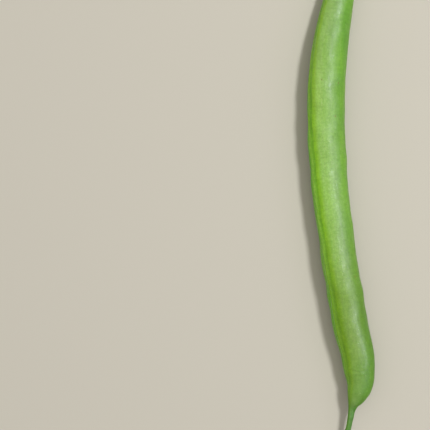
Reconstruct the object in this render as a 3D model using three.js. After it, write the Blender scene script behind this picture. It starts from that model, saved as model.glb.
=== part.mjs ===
// A fresh green bean, as picked, lying on its side: the pod with its beak, the calyx that clasps
// the pod's neck, and the stem that it hung from. Millimetres and degrees.
// Y runs along the bean, from the tip of the beak (-Y) to the stem (+Y), and Z is up from the table.
// Stations are counted along Y from the root of the beak, where Y is 0. The last lines centre the
// bean on its origin.
import * as THREE from 'three';

// ---------- Driving dimensions ----------

// [y, x]: where the middle of the bean runs, seen from above.
const PATH = [
  [-11.3, -1.3],
  [-9.6, 0.4],
  [-6.4, 1.9],
  [-3.2, 2.6],
  [0, 3.2],
  [3, 4],
  [6, 4.75],
  [9, 4.75],
  [12, 4.4],
  [18, 3.2],
  [26, 1.7],
  [34, 0.35],
  [50, -1.9],
  [63, -3.1],
  [76, -3.4],
  [90, -2.4],
  [101.5, -0.3],
  [112, 2],
  [125, 5.4],
];

// [y, to the seam, to the back, to the flanks]: how far the skin stands from the middle, without
// the seeds' swelling.
const REACH = [
  [-11.3, 0.45, 0.45, 0.45],
  [-9.6, 0.6, 0.6, 0.6],
  [-3.2, 0.75, 0.75, 0.75],
  [-1, 0.95, 0.95, 0.85],
  [0, 1.15, 1.3, 1.1],
  [1.3, 1.6, 2.3, 1.7],
  [3, 2.2, 3.2, 2.4],
  [6, 3, 3.8, 3.15],
  [9, 3.6, 4.05, 3.75],
  [18, 4.2, 4.4, 4.2],
  [26, 4.45, 4.4, 4.3],
  [34, 4.4, 4.4, 4.2],
  [76, 4.65, 4.65, 4.5],
  [90, 4.4, 4.4, 4.3],
  [102, 3.65, 3.8, 3.7],
  [112, 3.2, 3.2, 3],
  [119, 2.4, 2.55, 2.35],
  [123, 1.75, 1.75, 1.7],
  [125, 1.55, 1.55, 1.55],
];

// [y, gap]: how far the underside stands off the table, which it touches at three low places.
const UNDERSIDE = [
  [-11.3, 2.1],
  [-6.4, 3.1],
  [0, 3.2],
  [3, 2.05],
  [6, 1.1],
  [10, 0.25],
  [15, 0],
  [37, 0.45],
  [60, 0],
  [82, 0.45],
  [102, 0],
  [109, 0.3],
  [119, 1.5],
  [125, 2.6],
];

// [y, degrees]: how far the seam is turned from the top of the bean towards -X.
const SEAM_TURN = [
  [-11.3, 60],
  [5, 65],
  [12, 60],
  [20, 55],
  [29, 54],
  [38, 58],
  [58, 60],
  [72, 67],
  [90, 77],
  [125, 84],
];

// [y, swelling]: where each seed lifts the skin, and by how much.
const SEEDS = [
  [9, 0.25],
  [19.5, 0.35],
  [28.5, 0.3],
  [37.5, 0.35],
  [49, 0.35],
  [57, 0.15],
  [65.5, 0.3],
  [77, 0.4],
  [88, 0.35],
  [99.5, 0.25],
  [109.5, 0.15],
];
const SEED_HALF_LENGTH = 3.8;
const SEED_AT = 60; // degrees from the seam, on both flanks
const SEED_HALF_WIDTH = 45; // degrees

const FULL_REACH = 4.6; // where ridges and grooves have their full height
const SEAM_RIDGE = 0.32;
const SEAM_RIDGE_HALF_WIDTH = 6.5; // degrees
const SEAM_GROOVE = 0.05;
const SEAM_GROOVE_AT = 12; // degrees from the seam
const SEAM_GROOVE_HALF_WIDTH = 4;
const BACK_RIDGE = 0.1;
const BACK_RIDGE_HALF_WIDTH = 9;
const PRESSED = 0.2; // how deep the skin is pressed flat where the underside touches the table

const CALYX_GAP = 0.15; // to the pod
const CALYX_WALL = 0.5;
const CALYX_FLOOR = 0.9;
const CALYX_CUP = 1.7; // how far the cup runs down the pod's neck, between its teeth
const CALYX_TOOTH = 1.6; // the longest teeth's length beyond the cup
// [degrees round the stem from its +X side, share of that length]: the teeth's tips, with the
// first one again at the end.
const CALYX_TEETH = [
  [0, 1],
  [78, 0.72],
  [138, 0.9],
  [222, 0.8],
  [288, 1],
  [360, 1],
];
const CALYX_TIP_ROUNDNESS = 1.3; // 1 is a sharp tip, 2 a round one
const CALYX_NOTCH_ROUNDNESS = 1.5; // 1 is a sharp notch between teeth, 2 a round one
const CALYX_TOOTH_FLARE = 0.3; // how far the teeth's tips stand away from the pod
const CALYX_BASE = 1.35; // its radius where the stem meets it
const CALYX_BASE_ROUNDING = 3; // 1 narrows evenly to the base, more keeps the cup full for longer

const STEM_LENGTH = 9;
const STEM_BEND = [-1.9, -0.9]; // sideways and up, at its broken end
// [share of its length, radius]
const STEM_RADIUS = [
  [0, 1.2],
  [0.25, 0.95],
  [0.7, 0.82],
  [0.92, 0.95],
  [1, 0.85],
];

// [colour, roughness]
const POD_SKIN = [0x86b552, 0.42];
const CALYX_SKIN = [0x6f9a41, 0.6];
const STEM_SKIN = [0x5f8c3a, 0.6];

const POD_SIDES = 40;
const POD_CROWDING = [0.35, 0.2]; // how much closer together the sides are at the seam's ridge
const POD_STEP = 1.8; // between rings on the body
const BEAK_STEP = 0.8; // between rings on the beak and the shoulder behind it
const SHOULDER_END = 8; // the station up to which rings are close together
const CALYX_SIDES = 60;
const CALYX_RINGS = 7; // from the cup's base to its rim, and back down inside
const STEM_SIDES = 16;
const STEM_RINGS = 10;

// ---------- Shared geometry ----------

const UP = new THREE.Vector3(0, 0, 1);
const NECK = PATH.at(-1)[0]; // the station where the pod ends, inside the calyx
const radians = THREE.MathUtils.degToRad;
const bell = (offset, halfWidth) => Math.exp(-((offset / halfWidth) ** 2));

// Reads a column of a table of stations at any station, on a smooth curve through its rows.
function smooth(table, at, column = 1) {
  const last = table.length - 1;
  const station = THREE.MathUtils.clamp(at, table[0][0], table[last][0]);
  const k = Math.max(0, Math.min(last - 1, table.findLastIndex((row) => row[0] <= station)));
  const slope = (a, b) => (table[b][column] - table[a][column]) / (table[b][0] - table[a][0]);
  const tangent = (i) => {
    if (i === 0) return slope(0, 1);
    if (i === last) return slope(last - 1, last);
    const [before, after] = [slope(i - 1, i), slope(i, i + 1)];
    const share = (table[i][0] - table[i - 1][0]) / (table[i + 1][0] - table[i - 1][0]);
    return before + (after - before) * share;
  };
  const span = table[k + 1][0] - table[k][0];
  const t = (station - table[k][0]) / span;
  const [start, end] = [table[k][column], table[k + 1][column]];
  const bend = t * t * (3 - 2 * t);
  const lean = tangent(k) * t * (1 - t) ** 2 - tangent(k + 1) * t * t * (1 - t);
  return start + (end - start) * bend + lean * span;
}

// A closed skin over rings of points that all run the same way round, with a flat fan over each
// end ring.
function loft(rings) {
  const sides = rings[0].length;
  const points = rings.flat();
  const sum = (ring) => ring.reduce((total, point) => total.add(point), new THREE.Vector3());
  const firstCentre = points.push(sum(rings[0]).divideScalar(sides)) - 1;
  const lastCentre = points.push(sum(rings.at(-1)).divideScalar(sides)) - 1;
  const faces = [];
  for (let side = 0; side < sides; side++) {
    const next = (side + 1) % sides;
    for (let ring = 0; ring < rings.length - 1; ring++) {
      const [a, b] = [ring * sides + side, ring * sides + next];
      faces.push(a, b, b + sides, a, b + sides, a + sides);
    }
    const lastRing = (rings.length - 1) * sides;
    faces.push(firstCentre, next, side, lastCentre, lastRing + side, lastRing + next);
  }
  return new THREE.BufferGeometry().setFromPoints(points).setIndex(faces);
}

function piece(name, geometry, [color, roughness]) {
  geometry.computeVertexNormals();
  const material = new THREE.MeshStandardMaterial({ color, roughness, metalness: 0 });
  const mesh = new THREE.Mesh(geometry, material);
  mesh.name = name;
  return mesh;
}

// ---------- The pod ----------

const reaches = (y) => [1, 2, 3].map((column) => smooth(REACH, y, column));

// How high the middle runs: the skin's lowest point, below it, keeps the underside's gap to the
// table, against which the soft skin is pressed a little.
function height(y) {
  const [seam, back, flank] = reaches(y);
  const turn = radians(smooth(SEAM_TURN, y));
  const shift = ((seam - back) / 2) * Math.cos(turn);
  const depth = Math.hypot(((seam + back) / 2) * Math.cos(turn), flank * Math.sin(turn)) - shift;
  return depth + smooth(UNDERSIDE, y) - PRESSED;
}

const middle = (y) => new THREE.Vector3(smooth(PATH, y), y, height(y));

// The middle at a station, with the directions along the bean, to the seam and to the upper flank.
function frameAt(y) {
  const nudge = 0.05;
  const [before, after] = [Math.max(y - nudge, PATH[0][0]), Math.min(y + nudge, NECK)];
  const along = middle(after).sub(middle(before)).normalize();
  const right = new THREE.Vector3().crossVectors(along, UP).normalize();
  const up = new THREE.Vector3().crossVectors(right, along);
  const turn = radians(smooth(SEAM_TURN, y));
  const [level, tipped] = [Math.cos(turn), Math.sin(turn)];
  const toSeam = up.clone().multiplyScalar(level).addScaledVector(right, -tipped);
  const toFlank = up.clone().multiplyScalar(tipped).addScaledVector(right, level);
  return { middle: middle(y), along, right, up, toSeam, toFlank };
}

function seedSwelling(y) {
  const lift = ([station, swelling]) => swelling * bell(y - station, SEED_HALF_LENGTH);
  return SEEDS.reduce((sum, seed) => sum + lift(seed), 0);
}

// What stands out of the plain oval at an angle from the seam: the seam's ridge between its two
// grooves, the back's fine ridge, and the seeds.
function relief(y, angle, size) {
  const fromSeam = Math.abs(THREE.MathUtils.radToDeg(angle));
  const ridges =
    SEAM_RIDGE * bell(fromSeam, SEAM_RIDGE_HALF_WIDTH) -
    SEAM_GROOVE * bell(fromSeam - SEAM_GROOVE_AT, SEAM_GROOVE_HALF_WIDTH) +
    BACK_RIDGE * bell(180 - fromSeam, BACK_RIDGE_HALF_WIDTH);
  const seeds = seedSwelling(y) * bell(fromSeam - SEED_AT, SEED_HALF_WIDTH);
  return ridges * Math.min(1, size / FULL_REACH) ** 2 + seeds;
}

// Angles round the pod from -180 to 180 degrees, closer together at the seam's ridge.
function podAngles() {
  const [broad, narrow] = POD_CROWDING;
  return Array.from({ length: POD_SIDES }, (_, side) => {
    const even = ((side / POD_SIDES) * 2 - 1) * Math.PI;
    return even - broad * Math.sin(even) - narrow * Math.sin(2 * even);
  });
}

function podRing(y) {
  const { middle: centre, toSeam, toFlank } = frameAt(y);
  const [seam, back, flank] = reaches(y);
  const half = (seam + back) / 2;
  return podAngles().map((angle) => {
    const raised = relief(y, angle, half);
    const point = centre
      .clone()
      .addScaledVector(toSeam, (seam - back) / 2 + Math.cos(angle) * (half + raised))
      .addScaledVector(toFlank, Math.sin(angle) * (flank + raised));
    point.z = Math.max(0, point.z);
    return point;
  });
}

function podStations() {
  const run = (from, to, step) => {
    const count = Math.round((to - from) / step);
    return Array.from({ length: count }, (_, i) => from + ((to - from) * i) / count);
  };
  return [...run(PATH[0][0], SHOULDER_END, BEAK_STEP), ...run(SHOULDER_END, NECK, POD_STEP), NECK];
}

function pod() {
  return piece('pod', loft(podStations().map(podRing)), POD_SKIN);
}

// ---------- The calyx and the stem, in line with the pod's neck ----------

// A ring square to the neck. Its distance out along the neck, and its radius, may differ round it.
function neckRing(sides, distance, radius) {
  const { middle: end, along, right, up } = frameAt(NECK);
  return Array.from({ length: sides }, (_, side) => {
    const angle = (side / sides) * 2 * Math.PI;
    const [out, reach] = [distance(angle), radius(angle)];
    return end
      .clone()
      .addScaledVector(along, out)
      .addScaledVector(right, Math.cos(angle) * reach)
      .addScaledVector(up, Math.sin(angle) * reach);
  });
}

// How far out the calyx's rim lies at an angle. Each tooth falls back to a notch halfway to the next.
function calyxRim(angle) {
  const degrees = THREE.MathUtils.radToDeg(angle);
  const next = CALYX_TEETH.findIndex(([at]) => at > degrees);
  const [before, after] = [CALYX_TEETH[next - 1], CALYX_TEETH[next]];
  const share = (degrees - before[0]) / (after[0] - before[0]);
  const offTip = 2 * Math.min(share, 1 - share);
  const length = CALYX_TOOTH * (share < 0.5 ? before[1] : after[1]);
  return -CALYX_CUP - length * (1 - offTip ** CALYX_TIP_ROUNDNESS) ** CALYX_NOTCH_ROUNDNESS;
}

// The calyx is a cup with five uneven teeth. Its skin runs from the base out over the rim and back
// in to the floor.
function calyx() {
  const base = CALYX_GAP + CALYX_FLOOR;
  const toothEnd = CALYX_CUP + CALYX_TOOTH;
  const podRadius = (out) => Math.max(...reaches(NECK + Math.min(0, out)));
  const flare = (out) => CALYX_TOOTH_FLARE * THREE.MathUtils.smoothstep(-out, CALYX_CUP, toothEnd);
  const wallRing = (share, foot, standOff) => {
    const out = (angle) => THREE.MathUtils.lerp(foot, calyxRim(angle), share);
    const radius = (angle) => podRadius(out(angle)) + flare(out(angle)) + standOff;
    return neckRing(CALYX_SIDES, out, radius);
  };
  const outerOff = CALYX_GAP + CALYX_WALL;
  const baseInset = Math.min(0, CALYX_BASE - podRadius(0) - outerOff);
  const shares = Array.from({ length: CALYX_RINGS }, (_, ring) => ring / (CALYX_RINGS - 1));
  const inset = (share) => baseInset * (1 - share) ** CALYX_BASE_ROUNDING;
  const outside = shares.map((share) => wallRing(share, base, outerOff + inset(share)));
  const inside = shares.map((share) => wallRing(share, CALYX_GAP, CALYX_GAP)).reverse();
  return piece('calyx', loft([...outside, ...inside]), CALYX_SKIN);
}

function stem() {
  const { middle: end, along, right, up } = frameAt(NECK);
  const foot = CALYX_GAP + CALYX_FLOOR;
  const line = (share) =>
    end
      .clone()
      .addScaledVector(along, foot + CALYX_GAP / 2 + STEM_LENGTH * share)
      .addScaledVector(right, STEM_BEND[0] * share * share)
      .addScaledVector(up, STEM_BEND[1] * share * share);
  const rings = Array.from({ length: STEM_RINGS }, (_, ring) => {
    const share = ring / (STEM_RINGS - 1);
    const nudge = 0.001;
    const forward = share === 0 ? along : line(share).sub(line(share - nudge)).normalize();
    const across = new THREE.Vector3().crossVectors(forward, up).normalize();
    const over = new THREE.Vector3().crossVectors(across, forward);
    const radius = smooth(STEM_RADIUS, share);
    return Array.from({ length: STEM_SIDES }, (_unused, side) => {
      const angle = (side / STEM_SIDES) * 2 * Math.PI;
      return line(share)
        .addScaledVector(across, Math.cos(angle) * radius)
        .addScaledVector(over, Math.sin(angle) * radius);
    });
  });
  return piece('stem', loft(rings.reverse()), STEM_SKIN);
}

// ---------- The bean ----------

const bean = new THREE.Group();
bean.add(pod(), calyx(), stem());

// The origin is on the table, under the middle of the bean's outline.
const outline = new THREE.Box3().setFromObject(bean);
const centre = outline.getCenter(new THREE.Vector3());
bean.position.set(-centre.x, -centre.y, 0);

export default bean;
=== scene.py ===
"""A green bean lying on its side: its looks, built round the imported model's pod, calyx and stem.

Shapes are worked out in millimetres, in the stations of the model: Y runs from the beak's tip to
the stem and is 0 at the beak's root. Each piece turns into metres when its mesh is made, and is
then put where the model's own one is.
"""
import math

import bmesh
import bpy
import numpy as np
from mathutils import Matrix, Vector


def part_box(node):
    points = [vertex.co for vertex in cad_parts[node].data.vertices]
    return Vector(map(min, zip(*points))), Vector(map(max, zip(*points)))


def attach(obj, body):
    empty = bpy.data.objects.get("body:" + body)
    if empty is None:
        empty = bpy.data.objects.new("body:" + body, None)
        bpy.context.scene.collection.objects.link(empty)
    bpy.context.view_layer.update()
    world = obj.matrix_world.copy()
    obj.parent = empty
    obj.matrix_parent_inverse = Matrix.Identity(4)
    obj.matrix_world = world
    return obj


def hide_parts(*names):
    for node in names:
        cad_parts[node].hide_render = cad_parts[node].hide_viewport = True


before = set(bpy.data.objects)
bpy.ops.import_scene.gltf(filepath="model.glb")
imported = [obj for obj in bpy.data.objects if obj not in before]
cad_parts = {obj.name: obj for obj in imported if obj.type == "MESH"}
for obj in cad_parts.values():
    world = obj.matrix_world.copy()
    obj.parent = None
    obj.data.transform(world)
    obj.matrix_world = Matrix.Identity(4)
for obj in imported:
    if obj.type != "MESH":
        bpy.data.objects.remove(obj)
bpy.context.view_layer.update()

MM = 0.001
UP = np.array([0.0, 0.0, 1.0])

# ---------- Driving dimensions, the model's own, in millimetres and degrees ----------

# [y, x]: where the middle of the bean runs, seen from above.
PATH = [
    [-11.3, -1.3], [-9.6, 0.4], [-6.4, 1.9], [-3.2, 2.6], [0, 3.2], [3, 4], [6, 4.75], [9, 4.75],
    [12, 4.4], [18, 3.2], [26, 1.7], [34, 0.35], [50, -1.9], [63, -3.1], [76, -3.4], [90, -2.4],
    [101.5, -0.3], [112, 2], [125, 5.4],
]

# [y, to the seam, to the back, to the flanks]: how far the skin stands from the middle, without
# the seeds' swelling.
REACH = [
    [-11.3, 0.45, 0.45, 0.45], [-9.6, 0.6, 0.6, 0.6], [-3.2, 0.75, 0.75, 0.75], [-1, 0.95, 0.95, 0.85],
    [0, 1.15, 1.3, 1.1], [1.3, 1.6, 2.3, 1.7], [3, 2.2, 3.2, 2.4], [6, 3, 3.8, 3.15], [9, 3.6, 4.05, 3.75],
    [18, 4.2, 4.4, 4.2], [26, 4.45, 4.4, 4.3], [34, 4.4, 4.4, 4.2], [76, 4.65, 4.65, 4.5],
    [90, 4.4, 4.4, 4.3], [102, 3.65, 3.8, 3.7], [112, 3.2, 3.2, 3], [119, 2.4, 2.55, 2.35],
    [123, 1.75, 1.75, 1.7], [125, 1.55, 1.55, 1.55],
]

# [y, gap]: how far the underside stands off the table, which it touches at three low places.
UNDERSIDE = [
    [-11.3, 2.1], [-6.4, 3.1], [0, 3.2], [3, 2.05], [6, 1.1], [10, 0.25], [15, 0], [37, 0.45], [60, 0],
    [82, 0.45], [102, 0], [109, 0.3], [119, 1.5], [125, 2.6],
]
PRESSED = 0.2  # how deep the skin is pressed flat where the underside touches the table

# [y, degrees]: how far the seam is turned from the top of the bean towards -X.
SEAM_TURN = [
    [-11.3, 60], [5, 65], [12, 60], [20, 55], [29, 54], [38, 58], [58, 60], [72, 67], [90, 77], [125, 84],
]

# [y, swelling]: where each seed lifts the skin, and by how much.
SEEDS = [
    [9, 0.25], [19.5, 0.35], [28.5, 0.3], [37.5, 0.35], [49, 0.35], [57, 0.15], [65.5, 0.3], [77, 0.4],
    [88, 0.35], [99.5, 0.25], [109.5, 0.15],
]
SEED_HALF_LENGTH = 3.8
SEED_AT = 60  # degrees from the seam, on both flanks
SEED_HALF_WIDTH = 45

FULL_REACH = 4.6  # where ridges and grooves have their full height
SEAM_RIDGE = 0.32
SEAM_RIDGE_HALF_WIDTH = 6.5
SEAM_GROOVE = 0.05
SEAM_GROOVE_AT = 12
SEAM_GROOVE_HALF_WIDTH = 4
BACK_RIDGE = 0.1
BACK_RIDGE_HALF_WIDTH = 9
POD_CROWDING = (0.35, 0.2)  # how much closer its sides are at the ridge than elsewhere

CALYX_GAP = 0.15  # to the pod
CALYX_WALL = 0.5
CALYX_FLOOR = 0.9
CALYX_CUP = 1.7  # how far the cup runs down the pod's neck, between its teeth
CALYX_TOOTH = 1.6  # the longest teeth's length beyond the cup

# [degrees round the stem, share of that length]: where the teeth's tips are, and the first again.
CALYX_TEETH = [[0, 1], [78, 0.72], [138, 0.9], [222, 0.8], [288, 1], [360, 1]]
CALYX_TIP_ROUNDNESS = 1.3
CALYX_NOTCH_ROUNDNESS = 1.5
CALYX_TOOTH_FLARE = 0.3  # how far the teeth's tips stand away from the pod
CALYX_BASE = 1.35  # its radius where the stem meets it
CALYX_BASE_ROUNDING = 3

STEM_LENGTH = 9
STEM_BEND = (-1.9, -0.9)  # to the right and up, at its broken end
# [share of its length, radius]
STEM_RADIUS = [[0, 1.2], [0.25, 0.95], [0.7, 0.82], [0.92, 0.95], [1, 0.85]]

TIP, NECK = PATH[0][0], PATH[-1][0]

# ---------- Finer forms, which only the looks have ----------

SEED_OF_DRAWS = 11

SUTURE = 0.02  # depth of the hairline along the seam's crest
SUTURE_HALF_WIDTH = 1.6
SEAM_WANDER = 1.2  # degrees that the seam strays to either side at most
SEAM_WANDER_LENGTHS = (31.0, 12.5)
SEAM_FADE = (66, 92)  # the stations over which the ridge and its groove sink towards the neck
SEAM_FADED = 0.55  # the share of them that is left there

TIP_ROUNDING = 0.5  # length of the beak's rounded tip
TIP_LEAST = 0.02  # square of the share of its width that the very tip keeps
BEAK_GROOVE = 0.07  # along either side of the beak
BEAK_GROOVE_AT = 62
BEAK_GROOVE_HALF_WIDTH = 16
BEAK_GROOVE_END = 1  # the station where it ends, towards the shoulder
BEAK_GROOVE_FADES = (4, 3)  # lengths over which it deepens from the tip and rises to that end

LUMPS = 26  # slow swells of the skin, each a wave round and along the bean
LUMP_HEIGHT = 0.022
LUMP_WAVES = (1, 5)  # round the bean: a whole number from the first to just below the second
LUMP_LENGTHS = (5.0, 26.0)

FOLDS = 34  # short faint folds across the flanks, each drawn between the two values of these pairs
FOLD_DEPTH = 0.035
FOLD_STATIONS = (4, 118)
FOLD_ANGLES = (-2.6, 2.6)  # radians from the seam
FOLD_HALF_LENGTHS = (0.35, 1.0)
FOLD_HALF_WIDTHS = (0.3, 0.7)  # radians
FOLD_SLANTS = (-1.5, 1.5)  # how far it runs along the bean, for a radian round it
FOLD_SHARES = (0.3, 1)  # of the depth

# [y, degrees from the seam, depth]: the creases across the shoulder.
CREASES = [[9.1, 26, 0.11], [8.6, 46, 0.13], [8.8, 68, 0.09], [7.4, 58, 0.06]]
CREASE_HALF_LENGTH = 0.32
CREASE_HALF_WIDTH = 12  # degrees
CREASE_SLANT = 0.012  # how far each runs along the bean, for a degree round it

POD_SIDES = 144
POD_RING_STEP = 0.24
BEAK_RING_STEP = 0.14
SHOULDER_END = 8  # the station up to which the beak's closer rings go

CALYX_SIDES = 180
CALYX_RINGS = 26
CALYX_RING_CROWDING = 1.4  # how much closer its rings are at the rim
CALYX_CLEAR = 0.06  # between the cup's inside and the pod
CALYX_RIM_WALL = 0.14  # the wall's thickness at the teeth, where CALYX_WALL is that of the cup
CALYX_THINNING = 0.7
TOOTH_CURL = 0.14
CALYX_RIB = 0.07
CALYX_RIB_HALF_WIDTH = 0.16  # of the way from a tooth's middle to a notch
CALYX_NOTCH_RIB = 0.5  # the ribs that run to the notches, as a share of those that run to the teeth
CALYX_RIB_START = 0.08  # how far along their rise and fall the ribs are at the base
CALYX_RIB_FULLNESS = 0.7
CALYX_WRINKLE = 0.02
CALYX_WRINKLES = [[9, 5], [4, -3]]  # [waves round the cup, radians for a millimetre along it]

STEM_SIDES = 60
STEM_RING_STEP = 0.12
STEM_RIBS = 5
STEM_RIB = 0.05
STEM_LUMP = 0.03
STEM_LUMP_TWIST = 1.7  # radians for a millimetre along the stem
STEM_LUMP_PACE = 0.9
STEM_TEARS = [[2, 0.12, 1], [5, 0.05, 0]]  # [waves round the broken end, height, phase]
STEM_TEAR_ROUGHNESS = 0.03
STEM_TEAR_ONSET = 12  # how suddenly the tear sets in towards the end
PITH_DEPTH = 0.28
PITH_WIDTHS = (0.94, 0.85, 0.7, 0.5, 0.3, 0.12)  # the rings over the torn pith, as shares of the stem's

# ---------- Colours, as a screen's 0 to 255 ----------

# [degrees from the seam, the skin's colour there]
ROUND_THE_POD = [
    [-180, (92, 148, 22)],
    [-110, (98, 154, 26)],
    [-65, (122, 170, 56)],  # the far side
    [-32, (106, 172, 26)],
    [-12, (109, 192, 12)],
    [0, (127, 193, 12)],  # the ridge
    [5, (112, 158, 40)],
    [9, (102, 158, 24)],
    [12, (114, 177, 22)],  # the yellower band beside it
    [18, (135, 194, 22)],
    [27, (139, 188, 46)],
    [38, (144, 186, 84)],  # the pale flank
    [50, (141, 178, 87)],
    [78, (120, 155, 79)],
    [112, (94, 145, 41)],
    [180, (92, 148, 22)],
]
POD_CLOUDS = (134, 182, 50)
POD_BACK = (96, 150, 46)
POD_TOWARDS_BEAK = (92, 119, 10)
POD_SHOULDER = (102, 139, 46)
# painted shade that darkens the right flank over the half towards the beak
PAINTED_FLANK_SHADE = (80, 132, 18)
POD_TIP = (160, 156, 84)
POD_NECK = (134, 172, 74)
POD_FLECKS = (190, 215, 150)
POD_SPECKS = (120, 104, 40)

LEAF = ((112, 150, 58), (134, 166, 76))
LEAF_RIBS = (156, 182, 96)
LEAF_VEINS = (82, 122, 44)
LEAF_DRY = (142, 112, 60)
LEAF_DRIEST = (96, 70, 40)

STALK = ((96, 140, 50), (118, 160, 64))
STALK_RIBS = (140, 176, 84)
STALK_FIBRES = (72, 112, 38)
STALK_CORK = (150, 140, 84)
STALK_FRAYED = (172, 150, 98)
STALK_PITH = (204, 190, 142)

PAPER = (194, 186, 170)

# What a zone or a mark multiplies the red, green and blue light of the skin round it by.
# a painted highlight along the ridge's crest, over the middle of the bean
PAINTED_CREST_HIGHLIGHT = (1.1, 1.05, 2.6)
PALE_FLANK = (1.2, 1.13, 1.2)
DEEP_SHOULDER = (0.55, 0.72, 0.55)
DEEP_BEAK = (0.6, 0.76, 0.8)
PALE_CELLS = (1.21, 1.17, 1.3)
PALE_BLOOM = (1.13, 1.06, 1.35)
DEEP_LINES = (0.62, 0.7, 0.55)

SCATTER = (0.5, 1.0, 0.25)  # how far red, green and blue light go under the skin, as shares

# ---------- The photograph's frame ----------

PHOTO_SIDE_PX = 430
PX_PER_MM = 4.0
BEAK_ROOT_PX = (340, 406)  # where the model's station x = 0, y = 0 shows
CAMERA_HEIGHT = 0.6  # metres
CAMERA_SENSOR = 36.0
FRAMED_HEIGHT = 0.0045  # the height at which the frame's scale is right, about the middle of the bean

# ---------- The stage and its lights, in metres and watts ----------

FLOOR_REACH = 2.0  # from its middle to each side
FLOOR_DROP = 0.0001  # how far the floor lies under the bean
HORIZON_STRENGTH = 0.12
ZENITH_STRENGTH = 0.72

# [name, direction from the bean, distance, width and length, power, tint]
LIGHTS = [
    ["overhead", (0.15, 0.1, 0.98), 0.8, (0.9, 0.9), 0.5, (1, 1, 1)],
    ["window", (0.4, 0.2, 0.89), 0.8, (0.12, 0.12), 4.4, (0.9, 0.95, 1)],
    ["glint", (0.145, -0.065, 0.12), 0.2, (0.04, 0.04), 0.19, (0.86, 0.93, 1)],
]
GLOSS_ONLY = "glint"  # the light that shows only in the skin's gloss


# ---------- Shared geometry ----------

def smooth(table, at, column=1):
    """A column of a table of stations, read at any stations, on a smooth curve through its rows."""
    rows = np.array(table, float)
    stations, values = rows[:, 0], rows[:, column]
    at = np.clip(at, stations[0], stations[-1])
    slopes = np.diff(values) / np.diff(stations)
    share = (stations[1:-1] - stations[:-2]) / (stations[2:] - stations[:-2])
    inner = slopes[:-1] + (slopes[1:] - slopes[:-1]) * share
    tangents = np.concatenate([slopes[:1], inner, slopes[-1:]])
    k = np.clip(np.searchsorted(stations, at, side="right") - 1, 0, len(stations) - 2)
    span = stations[k + 1] - stations[k]
    t = (at - stations[k]) / span
    bend = t * t * (3 - 2 * t)
    lean = tangents[k] * t * (1 - t) ** 2 - tangents[k + 1] * t * t * (1 - t)
    return values[k] + (values[k + 1] - values[k]) * bend + lean * span


def bell(offset, half_width):
    return np.exp(-((offset / half_width) ** 2))


def unit(vectors):
    return vectors / np.linalg.norm(vectors, axis=-1, keepdims=True)


def even_angles(sides):
    """Angles once round, in even steps, in radians."""
    return np.arange(sides) / sides * 2 * math.pi


def skin_faces(count, sides):
    """Quads between rings of points, and a fan over each end, round a point of its own."""
    faces = []
    for ring in range(count - 1):
        for side in range(sides):
            following = (side + 1) % sides
            a, b = ring * sides + side, ring * sides + following
            faces.append((a, b, b + sides, a + sides))
    last = (count - 1) * sides
    for side in range(sides):
        following = (side + 1) % sides
        faces.append((count * sides, following, side))
        faces.append((count * sides + 1, last + side, last + following))
    return faces


def turn_outwards(mesh):
    form = bmesh.new()
    form.from_mesh(mesh)
    bmesh.ops.recalc_face_normals(form, faces=form.faces)
    form.to_mesh(mesh)
    form.free()


def hold(mesh, name, values):
    """Keeps a value, or three, at each of a loft's points. The point of a fan has its ring's mean."""
    width = values.shape[-1] if values.ndim == 3 else 1
    flat = values.reshape(-1, width)
    ends = [values[0].reshape(-1, width).mean(0), values[-1].reshape(-1, width).mean(0)]
    held = np.concatenate([flat, ends])
    kind, field = ("FLOAT_VECTOR", "vector") if width == 3 else ("FLOAT", "value")
    mesh.attributes.new(name, kind, "POINT").data.foreach_set(field, held.astype(np.float32).ravel())


def loft(name, rings, attributes):
    """A closed mesh over rings of points (ring, side, xyz), and values held at those points."""
    count, sides = rings.shape[:2]
    points = np.concatenate([rings.reshape(-1, 3), rings[0].mean(0)[None], rings[-1].mean(0)[None]])
    mesh = bpy.data.meshes.new(name)
    mesh.from_pydata((points * MM).tolist(), [], skin_faces(count, sides))
    turn_outwards(mesh)
    mesh.polygons.foreach_set("use_smooth", [True] * len(mesh.polygons))
    for key, values in attributes.items():
        hold(mesh, key, values)
    mesh.update()
    piece = bpy.data.objects.new(name, mesh)
    bpy.context.scene.collection.objects.link(piece)
    return piece


def place(piece, node, shift, material):
    """Puts a piece where the model's node is, moving with it and standing for it."""
    piece.data.transform(Matrix.Translation(shift))
    piece.data.materials.append(material)
    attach(piece, "root")
    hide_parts(node)


# ---------- The bean's line, as the model has it ----------

def reaches(y):
    return [smooth(REACH, y, column) for column in (1, 2, 3)]


def middle(y):
    seam, back, flank = reaches(y)
    turn = np.radians(smooth(SEAM_TURN, y))
    shift = (seam - back) / 2 * np.cos(turn)
    depth = np.hypot((seam + back) / 2 * np.cos(turn), flank * np.sin(turn)) - shift
    return np.stack([smooth(PATH, y), y, depth + smooth(UNDERSIDE, y) - PRESSED], -1)


def line_frame(y):
    """The middle at each station, and five directions: along, right, up, to the seam and the flank."""
    nudge = 0.05
    along = unit(middle(np.minimum(y + nudge, NECK)) - middle(np.maximum(y - nudge, TIP)))
    right = unit(np.cross(along, UP))
    up = np.cross(right, along)
    turn = np.radians(smooth(SEAM_TURN, y))[:, None]
    to_seam = up * np.cos(turn) - right * np.sin(turn)
    to_flank = up * np.sin(turn) + right * np.cos(turn)
    return middle(y), along, right, up, to_seam, to_flank


# ---------- The pod ----------

def seam_angles():
    """Angles round the pod from -180 to 180 degrees from the seam, closer together at its ridge."""
    even = (np.arange(POD_SIDES) / POD_SIDES * 2 - 1) * math.pi
    return even - POD_CROWDING[0] * np.sin(even) - POD_CROWDING[1] * np.sin(2 * even)


def straying(y):
    """How far the seam strays from its line, in degrees."""
    sway = sum(np.sin(2 * math.pi * y / length + k) for k, length in enumerate(SEAM_WANDER_LENGTHS))
    return SEAM_WANDER * sway / len(SEAM_WANDER_LENGTHS)


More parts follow.
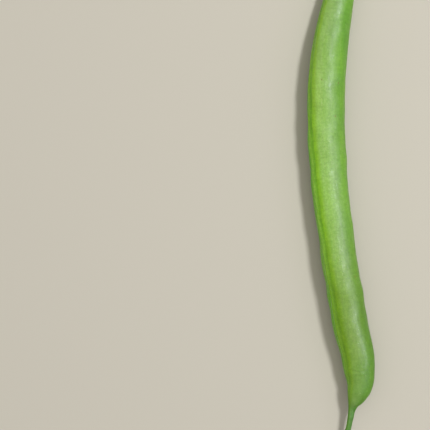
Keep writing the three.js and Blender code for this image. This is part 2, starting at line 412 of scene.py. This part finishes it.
def seam_relief(y, from_crest):
    """The ridge, the hairline on its crest and the groove on either side, fainter towards the neck."""
    start, end = SEAM_FADE
    left = 1 - (1 - SEAM_FADED) * np.clip((y - start) / (end - start), 0, 1)
    seam = (
        SEAM_RIDGE * bell(from_crest, SEAM_RIDGE_HALF_WIDTH)
        - SUTURE * bell(from_crest, SUTURE_HALF_WIDTH)
        - SEAM_GROOVE * bell(from_crest - SEAM_GROOVE_AT, SEAM_GROOVE_HALF_WIDTH)
    )
    return seam * left


def seeds(y, from_seam):
    swelling = sum(lift * bell(y - station, SEED_HALF_LENGTH) for station, lift in SEEDS)
    return swelling * bell(from_seam - SEED_AT, SEED_HALF_WIDTH)


def beak_grooves(y, from_seam):
    deepening, rising = BEAK_GROOVE_FADES
    share = np.clip((BEAK_GROOVE_END - y) / rising, 0, 1) * np.clip((y - TIP) / deepening, 0, 1)
    return BEAK_GROOVE * share * bell(from_seam - BEAK_GROOVE_AT, BEAK_GROOVE_HALF_WIDTH)


def lumps(draws, y, angle):
    """Slow uneven swells of the skin, with no joint where the angle comes round."""
    swell = np.zeros(np.broadcast(y, angle).shape)
    for _ in range(LUMPS):
        around = draws.integers(*LUMP_WAVES)
        length = draws.uniform(*LUMP_LENGTHS)
        phase, start = draws.uniform(0, 2 * math.pi, 2)
        swell += LUMP_HEIGHT * np.cos(around * angle + phase) * np.cos(2 * math.pi * y / length + start)
    return swell


def folds(draws, y, angle):
    """Faint folds that run a short way across the flanks, slanting a little."""
    depth = np.zeros(np.broadcast(y, angle).shape)
    for _ in range(FOLDS):
        at = draws.uniform(*FOLD_STATIONS)
        off = angle - draws.uniform(*FOLD_ANGLES)
        half_length = draws.uniform(*FOLD_HALF_LENGTHS)
        half_width = draws.uniform(*FOLD_HALF_WIDTHS)
        slant = draws.uniform(*FOLD_SLANTS)
        share = draws.uniform(*FOLD_SHARES)
        depth += share * bell(y - at - slant * off, half_length) * bell(off, half_width)
    return FOLD_DEPTH * depth


def creases(y, degrees):
    """The shoulder's few creases, one after another round it."""
    depth = 0
    for at, at_degrees, most in CREASES:
        off = degrees - at_degrees
        line = bell(y - at + CREASE_SLANT * off, CREASE_HALF_LENGTH)
        depth = depth + most * line * bell(off, CREASE_HALF_WIDTH)
    return depth


def relief(draws, y, angle, size):
    """What stands out of the plain oval at each point, and its degrees from the seam's crest."""
    degrees = np.degrees(angle)
    from_seam = np.abs(degrees)
    off_crest = degrees - straying(y)
    share = np.minimum(1, size / FULL_REACH) ** 2
    back = BACK_RIDGE * bell(180 - from_seam, BACK_RIDGE_HALF_WIDTH)
    ridges = (seam_relief(y, np.abs(off_crest)) + back) * share
    unevenness = (lumps(draws, y, angle) - folds(draws, y, angle)) * share - creases(y, degrees)
    return ridges + seeds(y, from_seam) - beak_grooves(y, from_seam) + unevenness, off_crest


def tip_rounding(y):
    """The share of its width that the beak has at each station, which falls off at its tip."""
    short = (1 - (y - TIP) / TIP_ROUNDING).clip(0, 1)
    return np.sqrt(np.clip(1 - short ** 2, TIP_LEAST, 1))[:, None]


def pod_rings():
    """The pod's skin from the beak's tip to the neck, and what its colours need at its points."""
    beak = np.arange(TIP, SHOULDER_END, BEAK_RING_STEP)
    body = np.arange(SHOULDER_END, NECK, POD_RING_STEP)
    y = np.concatenate([beak, body, [NECK]])
    centre, _, _, _, to_seam, to_flank = line_frame(y)
    seam, back, flank = (reach[:, None] for reach in reaches(y))
    half = (seam + back) / 2
    angle = seam_angles()[None]
    raised, off_crest = relief(np.random.default_rng(SEED_OF_DRAWS), y[:, None], angle, half)
    towards_seam = (seam - back) / 2 + np.cos(angle) * (half + raised) * tip_rounding(y)
    towards_flank = np.sin(angle) * (flank + raised) * tip_rounding(y)
    points = (
        centre[:, None]
        + to_seam[:, None] * towards_seam[..., None]
        + to_flank[:, None] * towards_flank[..., None]
    )
    points[..., 2] = np.maximum(points[..., 2], 0)
    along = np.broadcast_to(y[:, None], towards_seam.shape)
    straight = np.stack([towards_seam, towards_flank, along], -1)
    return points, {"straight": straight, "off_seam": off_crest, "along": along}


def pod_shift(rings):
    """What moves the stations' millimetres to the model's place, in metres, by the pod's own box."""
    low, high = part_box("pod")
    centre = (rings.reshape(-1, 3).min(0) + rings.reshape(-1, 3).max(0)) / 2 * MM
    return Vector(((low.x + high.x) / 2 - centre[0], (low.y + high.y) / 2 - centre[1], 0))


# ---------- The calyx and the stem, in line with the pod's neck ----------

def neck_frame():
    """The pod's end, with the directions out along the neck, right and up."""
    end, along, right, up, _, _ = line_frame(np.array([NECK], float))
    return end[0], along[0], right[0], up[0]


def neck_points(angle, out, radius):
    """Points round the neck's line, at an angle from the right towards up."""
    end, along, right, up = neck_frame()
    sideways = (np.cos(angle) * radius)[..., None] * right
    return end + out[..., None] * along + sideways + (np.sin(angle) * radius)[..., None] * up


def calyx_rim(angle):
    """How far out the toothed rim is at each angle, and how high the ribs are there, as a share."""
    tips, lengths = np.array(CALYX_TEETH).T
    turn = np.interp(np.degrees(angle), tips, range(len(tips)))
    nearest = np.round(turn).astype(int)
    off_tooth = 2 * np.abs(turn - nearest)
    tooth = (1 - off_tooth ** CALYX_TIP_ROUNDNESS) ** CALYX_NOTCH_ROUNDNESS
    rim = -CALYX_CUP - CALYX_TOOTH * lengths[nearest] * tooth
    tooth_rib = bell(off_tooth, CALYX_RIB_HALF_WIDTH)
    notch_rib = CALYX_NOTCH_RIB * bell(off_tooth - 1, CALYX_RIB_HALF_WIDTH)
    return rim, tooth_rib + notch_rib


def calyx_outside(radius, angle, out, share, rib):
    """The outside's radius from the inside's: a thinning wall, a rounded base, ribs and wrinkles."""
    wall = CALYX_GAP + CALYX_WALL - CALYX_CLEAR
    inset = min(0, CALYX_BASE - reaches(NECK)[0] - CALYX_GAP - CALYX_WALL)
    rise = math.sin(math.pi * min(1, share + CALYX_RIB_START)) ** CALYX_RIB_FULLNESS
    wrinkles = np.prod([np.sin(waves * angle + pace * out) for waves, pace in CALYX_WRINKLES], axis=0)
    radius = radius + (wall + (CALYX_RIM_WALL - wall) * share ** CALYX_THINNING)
    radius = radius + inset * (1 - share) ** CALYX_BASE_ROUNDING
    return radius + CALYX_RIB * rib * rise + CALYX_WRINKLE * wrinkles * share


def calyx_ring(angle, share, foot, outside):
    """A ring of the cup's skin, a share of the way from its foot to the rim, and what its points hold."""
    rim, rib = calyx_rim(angle)
    out = foot + (rim - foot) * share
    neck = np.maximum.reduce(reaches(NECK + np.minimum(0, out)))
    beyond = np.clip((-out - CALYX_CUP) / CALYX_TOOTH, 0, 1)
    flare = CALYX_TOOTH_FLARE * beyond * beyond * (3 - 2 * beyond) + TOOTH_CURL * beyond ** 3
    radius = neck + flare + CALYX_CLEAR
    if outside:
        radius = calyx_outside(radius, angle, out, share, rib)
    straight = np.stack([np.cos(angle) * radius, np.sin(angle) * radius, out], -1)
    return neck_points(angle, out, radius), straight, out - rim, beyond, rib


def calyx_rings():
    """The cup's skin, from its base out over the toothed rim and back in to the floor."""
    angle = even_angles(CALYX_SIDES)
    shares = 1 - (1 - np.linspace(0, 1, CALYX_RINGS)) ** CALYX_RING_CROWDING
    outer = [calyx_ring(angle, share, CALYX_GAP + CALYX_FLOOR, True) for share in shares]
    inner = [calyx_ring(angle, share, CALYX_GAP / 2, False) for share in shares[::-1]]
    points, *held = (np.stack(values) for values in zip(*outer, *inner))
    return points, dict(zip(("straight", "to_rim", "beyond", "rib"), held))


def stem_tear(angle):
    """How far the broken end reaches out round the stem, more or less than its length."""
    draws = np.random.default_rng(SEED_OF_DRAWS)
    tear = sum(height * np.sin(waves * angle + phase) for waves, height, phase in STEM_TEARS)
    return tear + STEM_TEAR_ROUGHNESS * draws.normal(size=len(angle))


def stem_steps():
    """For each ring its share of the stem's length, its share of the width and how far it is sunk."""
    skin = [(share, 1.0, 0.0) for share in np.linspace(0, 1, round(STEM_LENGTH / STEM_RING_STEP))]
    return skin + [(1.0, width, 1 - width ** 2) for width in PITH_WIDTHS]


def stem_rings():
    """The stem's skin, from its foot to its broken end, and in over the torn pith."""
    end, along, right, up = neck_frame()
    bend = STEM_BEND[0] * right + STEM_BEND[1] * up
    angle = even_angles(STEM_SIDES)
    tear = stem_tear(angle)
    rib = np.cos(STEM_RIBS * angle)
    foot = CALYX_GAP / 2 + CALYX_FLOOR + CALYX_GAP  # half a gap off the calyx's base
    rings, straight, to_end = [], [], []
    for share, width, sunk in stem_steps():
        forward = unit(along * STEM_LENGTH + 2 * share * bend)
        across = unit(np.cross(forward, up))
        over = np.cross(across, forward)
        out = foot + STEM_LENGTH * share
        ring_middle = end + along * out + share ** 2 * bend
        lump = STEM_LUMP * np.sin(2 * angle + STEM_LUMP_TWIST * out) * np.sin(STEM_LUMP_PACE * out + 1)
        radius = (smooth(STEM_RADIUS, np.array(share)) + STEM_RIB * rib * (1 - share / 2) + lump) * width
        frayed = tear * share ** STEM_TEAR_ONSET * width - PITH_DEPTH * sunk
        offset = (np.cos(angle) * radius)[:, None] * across + (np.sin(angle) * radius)[:, None] * over
        rings.append(ring_middle + offset + frayed[:, None] * forward)
        straight.append(np.stack([np.cos(angle) * radius, np.sin(angle) * radius, out + frayed], -1))
        to_end.append(np.full(STEM_SIDES, STEM_LENGTH * (1 - share)))
    held = {"straight": np.stack(straight), "to_end": np.stack(to_end)}
    held["rib"] = np.broadcast_to(rib, held["to_end"].shape)
    return np.stack(rings), held


# ---------- Materials ----------

def colour(red, green, blue):
    """A colour as a screen shows it, 0 to 255, as the linear light that shaders take."""
    def linear(value):
        value /= 255
        return value / 12.92 if value <= 0.04045 else ((value + 0.055) / 1.055) ** 2.4
    return (linear(red), linear(green), linear(blue), 1)


class Shader:
    """A material's node tree, with short calls for the nodes that the skins share."""

    def __init__(self, name, **constants):
        self.material = bpy.data.materials.new(name)
        self.material.use_nodes = True
        self.tree = self.material.node_tree
        self.surface = self.tree.nodes["Principled BSDF"]
        for socket, value in constants.items():
            self.surface.inputs[socket.replace("_", " ")].default_value = value

    def add(self, kind, inputs, **settings):
        node = self.tree.nodes.new("ShaderNode" + kind)
        for key, value in settings.items():
            setattr(node, key, value)
        for key, value in inputs.items():
            if isinstance(value, bpy.types.NodeSocket):
                self.tree.links.new(value, node.inputs[key])
            else:
                node.inputs[key].default_value = value
        return node

    def held(self, name, output="Fac"):
        return self.add("Attribute", {}, attribute_name=name).outputs[output]

    def noise(self, vector, scale, detail, roughness=0.5, stretch=None):
        if stretch:
            vector = self.stretched(vector, stretch)
        inputs = {"Vector": vector, "Scale": scale, "Detail": detail, "Roughness": roughness}
        return self.add("TexNoise", inputs).outputs["Fac"]

    def spots(self, vector, scale, stretch=None):
        if stretch:
            vector = self.stretched(vector, stretch)
        return self.add("TexVoronoi", {"Vector": vector, "Scale": scale}).outputs["Distance"]

    def stretched(self, vector, scale):
        node = self.add("Mapping", {"Vector": vector, "Scale": scale}, vector_type="POINT")
        return node.outputs["Vector"]

    def map(self, value, low, high, to_low=0.0, to_high=1.0):
        """The value's stretch from low to high, smoothly turned into one from to_low to to_high."""
        inputs = {"Value": value, "From Min": low, "From Max": high, "To Min": to_low, "To Max": to_high}
        return self.add("MapRange", inputs, interpolation_type="SMOOTHSTEP").outputs["Result"]

    def band(self, value, at, half_width, strength=1.0):
        """The strength where the value is at the given one, fading to nothing half a width away."""
        off = self.math("ABSOLUTE", self.math("SUBTRACT", value, at))
        return self.map(off, 0, half_width, strength, 0)

    def math(self, operation, a, b=0.0):
        return self.add("Math", {0: a, 1: b}, operation=operation).outputs[0]

    def sum(self, first, *others):
        for other in others:
            first = self.math("ADD", first, other)
        return first

    def product(self, first, *others):
        for other in others:
            first = self.math("MULTIPLY", first, other)
        return first

    def ramp(self, value, stops):
        """A colour for each value, from a list of values and colours, blended between them."""
        first, last = stops[0][0], stops[-1][0]
        share = self.math("DIVIDE", self.math("SUBTRACT", value, first), last - first)
        node = self.add("ValToRGB", {"Fac": share})
        points = node.color_ramp.elements
        while len(points) < len(stops):
            points.new(0.5)
        for point, (at, tint) in zip(points, stops):
            point.position = (at - first) / (last - first)
            point.color = colour(*tint)
        return node.outputs["Color"]

    def mix(self, factor, under, over, blend="MIX"):
        inputs = {"Factor": factor, 6: under, 7: over}
        return self.add("Mix", inputs, data_type="RGBA", blend_type=blend).outputs[2]

    def paint(self, factor, under, over):
        """The colour under it, with a screen's colour laid over by a factor."""
        return self.mix(factor, under, colour(*over))

    def tint(self, factor, under, shares):
        """The colour under it, with its red, green and blue light multiplied by shares, by a factor."""
        return self.mix(factor, under, (*shares, 1), "MULTIPLY")

    def finish(self, base, roughness, height, depth, strength):
        bump = self.add("Bump", {"Height": height, "Distance": depth, "Strength": strength})
        self.tree.links.new(base, self.surface.inputs["Base Color"])
        self.tree.links.new(roughness, self.surface.inputs["Roughness"])
        self.tree.links.new(bump.outputs["Normal"], self.surface.inputs["Normal"])
        return self.material


def leafy(name, weight, scale, specular):
    """A shader for living green, into which light goes a little way."""
    return Shader(
        name,
        Subsurface_Weight=weight,
        Subsurface_Scale=scale,
        Subsurface_Radius=SCATTER,
        Specular_IOR_Level=specular,
    )


def colour_round(skin, place_in_bean, off_seam, along):
    """The skin's colour by its angle from the seam, with slow clouds, a painted crest highlight and a pale
    flank.
    """
    from_seam = skin.math("ABSOLUTE", off_seam)
    clouds = skin.noise(place_in_bean, scale=0.22, detail=3, stretch=(1, 1, 0.3))
    # where the painted highlight lies along the ridge's crest
    crest = skin.product(
        skin.band(off_seam, at=0, half_width=6),
        skin.band(along, at=50, half_width=26),
    )
    flank = skin.product(
        skin.band(off_seam, at=38, half_width=26),
        skin.band(along, at=80, half_width=14),
    )
    green = skin.ramp(off_seam, ROUND_THE_POD)
    green = skin.paint(skin.map(clouds, 0.35, 0.65, 0, 0.35), green, POD_CLOUDS)
    green = skin.paint(skin.band(from_seam, at=180, half_width=10, strength=0.35), green, POD_BACK)
    green = skin.tint(crest, green, PAINTED_CREST_HIGHLIGHT)
    return skin.tint(flank, green, PALE_FLANK)


def colour_along(skin, green, off_seam, along):
    """A deeper green towards the beak, least so on the ridge, then the shoulder, painted flank shade, beak
    and neck.
    """
    deeper = skin.product(
        skin.map(along, 20, 52, 0.56, 0),
        skin.map(along, 0, 18, 0.5, 1),
        skin.map(off_seam, -6, 10, 0.25, 1),
    )
    # painted shade on the right flank, strongest towards the beak
    lower_flank_shade = skin.product(skin.map(along, 5, 55, 1.3, 0), skin.map(off_seam, 55, 112, 0, 0.5))
    upper_shoulder = skin.product(
        skin.map(along, 9, 14, 1, 0),
        skin.map(along, 0, 7, 0.4, 1),
        skin.map(off_seam, 22, 55, 0, 0.4),
        skin.map(off_seam, 88, 108, 1, 0),
    )
    green = skin.paint(deeper, green, POD_TOWARDS_BEAK)
    green = skin.paint(skin.map(along, -2, 14, 0.6, 0), green, POD_SHOULDER)
    green = skin.paint(lower_flank_shade, green, PAINTED_FLANK_SHADE)
    green = skin.tint(upper_shoulder, green, DEEP_SHOULDER)
    green = skin.tint(skin.map(along, -2, 2, 1, 0), green, DEEP_BEAK)
    green = skin.paint(skin.map(along, TIP, TIP + 2.2, 0.8, 0), green, POD_TIP)
    return skin.paint(skin.map(along, 108, NECK, 0, 0.5), green, POD_NECK)


def grained(skin, green, place_in_bean, grain, across, fibres):
    """The skin's cells and bloom, faint lines across and along it, pale flecks and a few brown specks."""
    bloom = skin.noise(place_in_bean, scale=0.9, detail=3, roughness=0.65, stretch=(1, 1, 0.6))
    flecks = skin.spots(place_in_bean, scale=1.15)
    specks = skin.spots(place_in_bean, scale=0.16, stretch=(1, 1, 0.8))
    green = skin.tint(skin.map(grain, 0.35, 0.65), green, PALE_CELLS)
    green = skin.tint(skin.map(bloom, 0.45, 0.7), green, PALE_BLOOM)
    green = skin.tint(skin.map(across, 0.45, 0.65, 0, 0.25), green, DEEP_LINES)
    green = skin.tint(skin.map(fibres, 0.4, 0.7, 0, 0.2), green, DEEP_LINES)
    green = skin.paint(skin.map(flecks, 0.06, 0.14, 0.3, 0), green, POD_FLECKS)
    return skin.paint(skin.map(specks, 0.02, 0.045, 0.6, 0), green, POD_SPECKS)


def pod_material():
    """A satin skin, unevenly glossy and duller at the shoulder, with fine pores."""
    skin = leafy("bean_skin", weight=0.1, scale=0.0012, specular=0.4)
    place_in_bean = skin.held("straight", "Vector")
    off_seam = skin.held("off_seam")
    along = skin.held("along")
    grain = skin.noise(place_in_bean, scale=1.7, detail=4, roughness=0.7)
    across = skin.noise(place_in_bean, scale=1.0, detail=3, roughness=0.6, stretch=(0.5, 0.5, 1.8))
    fibres = skin.noise(place_in_bean, scale=1.0, detail=3, roughness=0.6, stretch=(1.8, 1.8, 0.3))
    patches = skin.noise(place_in_bean, scale=0.5, detail=2, stretch=(1, 1, 0.7))
    pores = skin.noise(place_in_bean, scale=3.2, detail=2, roughness=0.6)

    green = colour_round(skin, place_in_bean, off_seam, along)
    green = colour_along(skin, green, off_seam, along)
    green = grained(skin, green, place_in_bean, grain, across, fibres)
    unevenness = skin.sum(grain, fibres, patches)
    roughness = skin.sum(skin.map(unevenness, 1.25, 1.75, 0.31, 0.54), skin.map(along, 8, 17, 0.12, 0))
    height = skin.sum(pores, skin.product(skin.sum(across, fibres), 0.4), patches)
    return skin.finish(green, roughness, height, depth=0.00007, strength=1.0)


def calyx_material():
    """Soft leafy green, paler on its ribs, with dry brown edges and tips."""
    leaf = leafy("calyx_leaf", weight=0.15, scale=0.0006, specular=0.3)
    place_in_cup = leaf.held("straight", "Vector")
    clouds = leaf.noise(place_in_cup, scale=0.9, detail=3)
    veins = leaf.noise(place_in_cup, scale=1.0, detail=3, roughness=0.65, stretch=(5, 5, 0.6))
    freshness = leaf.math("SUBTRACT", clouds, leaf.product(leaf.held("beyond"), 0.5))
    dryness = leaf.sum(leaf.held("to_rim"), leaf.product(freshness, 0.6))

    green = leaf.mix(leaf.map(clouds, 0.35, 0.65), colour(*LEAF[0]), colour(*LEAF[1]))
    green = leaf.paint(leaf.map(leaf.held("rib"), 0.2, 1, 0, 0.5), green, LEAF_RIBS)
    green = leaf.paint(leaf.map(veins, 0.4, 0.65, 0, 0.4), green, LEAF_VEINS)
    green = leaf.paint(leaf.map(dryness, 0.3, 0.62, 0.85, 0), green, LEAF_DRY)
    green = leaf.paint(leaf.map(dryness, 0.2, 0.4, 0.6, 0), green, LEAF_DRIEST)
    height = leaf.sum(veins, leaf.product(clouds, 0.5))
    roughness = leaf.map(clouds, 0.3, 0.7, 0.48, 0.62)
    return leaf.finish(green, roughness, height, depth=0.00006, strength=0.9)


def stem_material():
    """Deep green with paler ribs, corky specks, and a tan torn end."""
    stalk = leafy("stem_skin", weight=0.08, scale=0.0006, specular=0.35)
    place_in_stem = stalk.held("straight", "Vector")
    clouds = stalk.noise(place_in_stem, scale=0.8, detail=3, stretch=(1, 1, 0.35))
    fibres = stalk.noise(place_in_stem, scale=1.0, detail=3, roughness=0.65, stretch=(6, 6, 0.5))
    cork = stalk.spots(place_in_stem, scale=1.1, stretch=(1, 1, 0.6))
    fraying = stalk.sum(stalk.held("to_end"), stalk.product(clouds, 0.8))

    green = stalk.mix(stalk.map(clouds, 0.35, 0.65), colour(*STALK[0]), colour(*STALK[1]))
    green = stalk.paint(stalk.map(stalk.held("rib"), 0.3, 1, 0, 0.45), green, STALK_RIBS)
    green = stalk.paint(stalk.map(fibres, 0.4, 0.65, 0, 0.35), green, STALK_FIBRES)
    green = stalk.paint(stalk.map(cork, 0.1, 0.2, 0.6, 0), green, STALK_CORK)
    green = stalk.paint(stalk.map(fraying, 0.3, 0.95, 0.9, 0), green, STALK_FRAYED)
    green = stalk.paint(stalk.map(fraying, 0.2, 0.5, 0.7, 0), green, STALK_PITH)
    height = stalk.sum(fibres, stalk.product(clouds, 0.4))
    roughness = stalk.map(clouds, 0.3, 0.7, 0.42, 0.6)
    return stalk.finish(green, roughness, height, depth=0.00008, strength=1.0)


# ---------- Stage ----------

def floor():
    mesh = bpy.data.meshes.new("floor")
    corners = [(-1, -1), (1, -1), (1, 1), (-1, 1)]
    points = [(FLOOR_REACH * x, FLOOR_REACH * y, -FLOOR_DROP) for x, y in corners]
    mesh.from_pydata(points, [], [(0, 1, 2, 3)])
    paper = Shader("pale_floor", Base_Color=colour(*PAPER), Roughness=0.9)
    mesh.materials.append(paper.material)
    stage = bpy.data.objects.new("floor", mesh)
    bpy.context.scene.collection.objects.link(stage)


def dome():
    """A world of white light, dimmer towards the horizon and below it."""
    world = bpy.data.worlds.new("studio")
    world.use_nodes = True
    nodes, links = world.node_tree.nodes, world.node_tree.links
    direction = nodes.new("ShaderNodeTexCoord").outputs["Generated"]
    split = nodes.new("ShaderNodeSeparateXYZ")
    dimming = nodes.new("ShaderNodeMapRange")
    links.new(direction, split.inputs[0])
    links.new(split.outputs["Z"], dimming.inputs["Value"])
    dimming.inputs["To Min"].default_value = HORIZON_STRENGTH
    dimming.inputs["To Max"].default_value = ZENITH_STRENGTH
    links.new(dimming.outputs["Result"], nodes["Background"].inputs["Strength"])
    nodes["Background"].inputs["Color"].default_value = (1, 1, 1, 1)
    bpy.context.scene.world = world
    bpy.context.scene.view_settings.view_transform = "Standard"


def soft_light(name, direction, distance, size, power, tint):
    """An area light that faces the bean from a direction."""
    lamp = bpy.data.lights.new(name, "AREA")
    lamp.shape = "RECTANGLE"
    lamp.size, lamp.size_y = size
    lamp.energy = power
    lamp.color = tint
    holder = bpy.data.objects.new(name, lamp)
    holder.location = Vector(direction).normalized() * distance
    holder.rotation_euler = Vector(direction).to_track_quat("Z", "Y").to_euler()
    holder.visible_diffuse = name != GLOSS_ONLY
    bpy.context.scene.collection.objects.link(holder)


def camera(shift):
    """Looks straight down at what the photograph's frame holds, at its scale."""
    data = bpy.data.cameras.new("camera")
    data.sensor_width = CAMERA_SENSOR
    width = PHOTO_SIDE_PX / PX_PER_MM * MM
    data.lens = CAMERA_SENSOR * (CAMERA_HEIGHT - FRAMED_HEIGHT) / width
    half = PHOTO_SIDE_PX / 2
    x = (half - BEAK_ROOT_PX[0]) / PX_PER_MM * MM + shift.x
    y = (BEAK_ROOT_PX[1] - half) / PX_PER_MM * MM + shift.y
    viewer = bpy.data.objects.new("camera", data)
    viewer.location = (x, y, CAMERA_HEIGHT)
    bpy.context.scene.collection.objects.link(viewer)
    bpy.context.scene.camera = viewer


# ---------- The scene ----------

rings, held = pod_rings()
shift = pod_shift(rings)
camera(shift)
floor()
dome()
for light in LIGHTS:
    soft_light(*light)
place(loft("green_bean_pod", rings, held), "pod", shift, pod_material())
place(loft("green_bean_calyx", *calyx_rings()), "calyx", shift, calyx_material())
place(loft("green_bean_stem", *stem_rings()), "stem", shift, stem_material())
